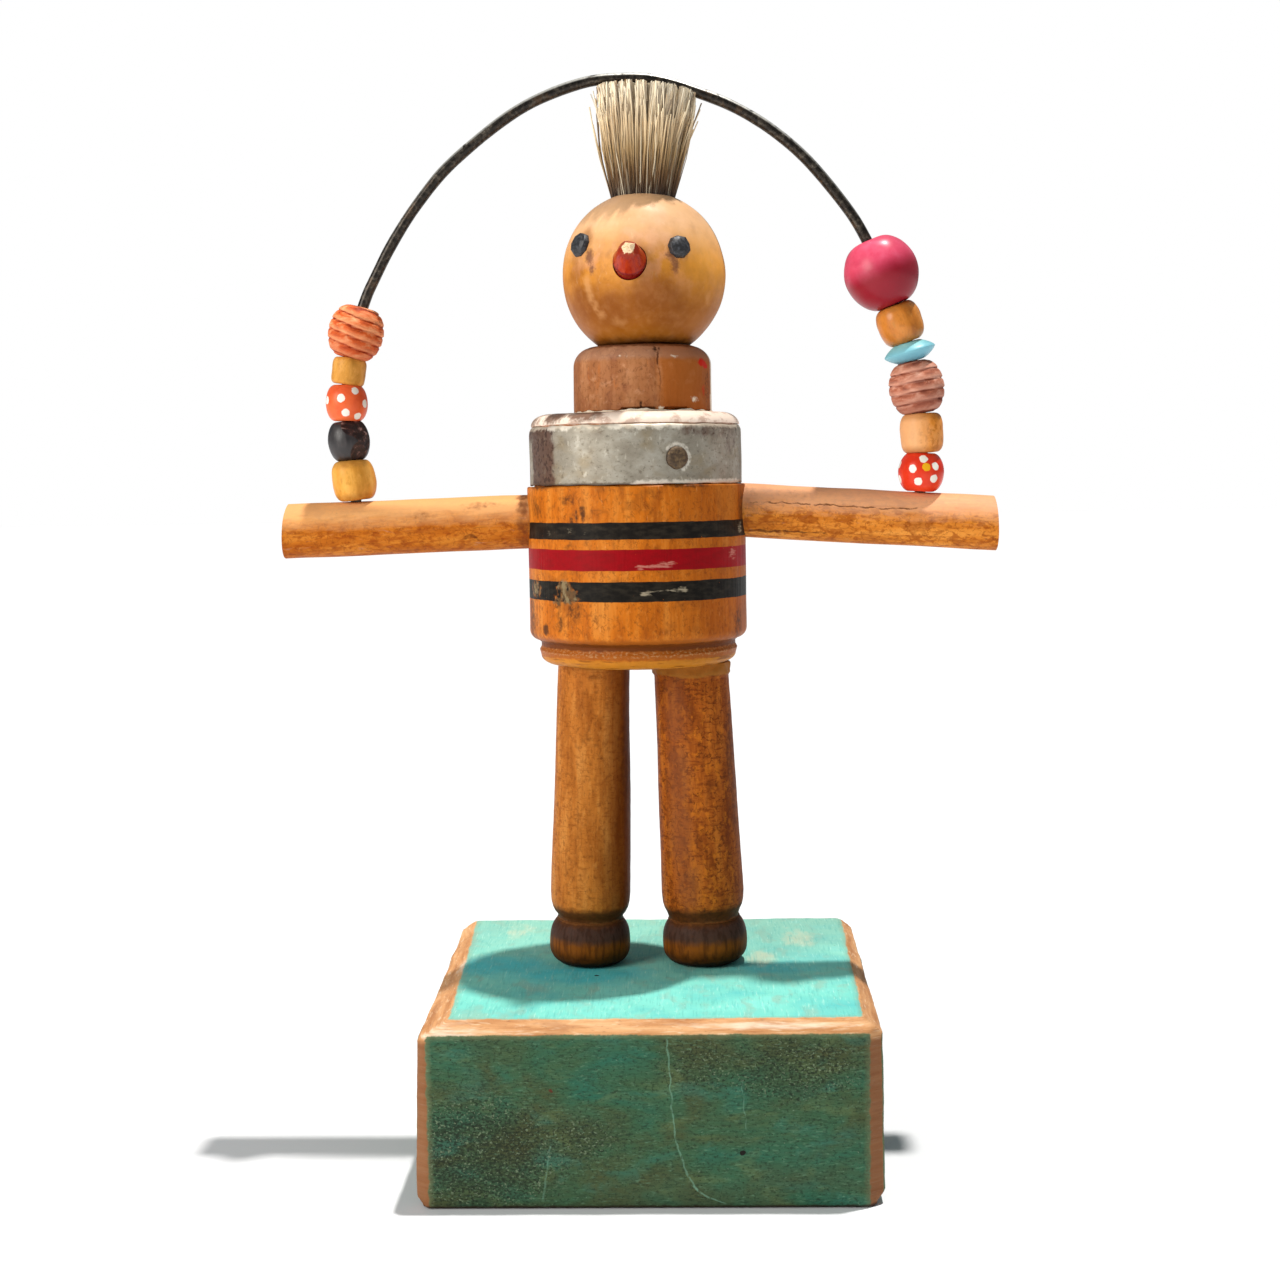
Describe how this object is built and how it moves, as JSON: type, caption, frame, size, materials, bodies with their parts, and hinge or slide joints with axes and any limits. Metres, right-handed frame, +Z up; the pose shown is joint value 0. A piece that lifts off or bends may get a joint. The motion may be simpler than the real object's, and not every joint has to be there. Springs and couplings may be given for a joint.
{
  "type": "found object sculpture",
  "caption": "Standing figure of turned wood odds and ends on a painted block, under a bent steel rod threaded with beads that is plugged into its outstretched arms.",
  "frame": {"origin": "centre of the block's underside, level with what it stands on", "axes": "+Z up; the figure faces -Y; +X is the viewer's right, where the pink ball is"},
  "size_m": [0.1961, 0.107, 0.2912],
  "materials": {
    "painted_block": "worn turquoise paint on top and dark mottled green on the sides, bare where the edges were planed",
    "leg_wood": "old honey-brown varnish, worn, dark in the waist groove",
    "body_wood": "honey-orange varnish with chipped black and red painted stripes",
    "zinc_band": "dull galvanised sheet with rust stains",
    "nail_steel": "domed nail head, brown with rust",
    "neck_wood": "satin brown wood with a crack",
    "head_wood": "golden tan varnish, pale on the crown, stained lower down",
    "bristle": "cut grey-blond brush bristle, dark at the root",
    "eye_iron": "hammered charcoal tack heads",
    "nose_lacquer": "glossy red lacquer, worn to bare wood at the tip",
    "arm_wood": "bare dowel, oiled tan-orange, with fine cracks along the grain",
    "rod_steel": "blackened bent rod",
    "bead_wood": "satin tan turned wood",
    "bead_black": "black paint chipped to brown",
    "bead_orange": "orange paint with white dots",
    "bead_clay": "matt terracotta, grooved",
    "bead_red": "glossy red with raised white dots and a yellow one",
    "bead_saucer": "pale turquoise glaze",
    "bead_pink": "satin crimson-pink paint"
  },
  "bodies": {
    "root": {"base_block": "painted_block", "left_leg": "leg_wood", "right_leg": "leg_wood", "torso": "body_wood", "metal_band": "zinc_band", "band_nail": "nail_steel", "neck": "neck_wood", "head": "head_wood", "bristle_tuft": "bristle", "left_eye": "eye_iron", "right_eye": "eye_iron", "nose": "nose_lacquer", "left_arm": "arm_wood", "right_arm": "arm_wood", "wire_hoop": "rod_steel", "left_barrel_bead": "bead_wood", "left_black_bead": "bead_black", "left_dotted_bead": "bead_orange", "left_small_barrel_bead": "bead_wood", "left_grooved_bead": "bead_clay", "right_dotted_bead": "bead_red", "right_barrel_bead": "bead_wood", "right_grooved_bead": "bead_clay", "right_saucer_bead": "bead_saucer", "right_oval_bead": "bead_wood", "right_pink_ball": "bead_pink"}
  },
  "joints": []
}
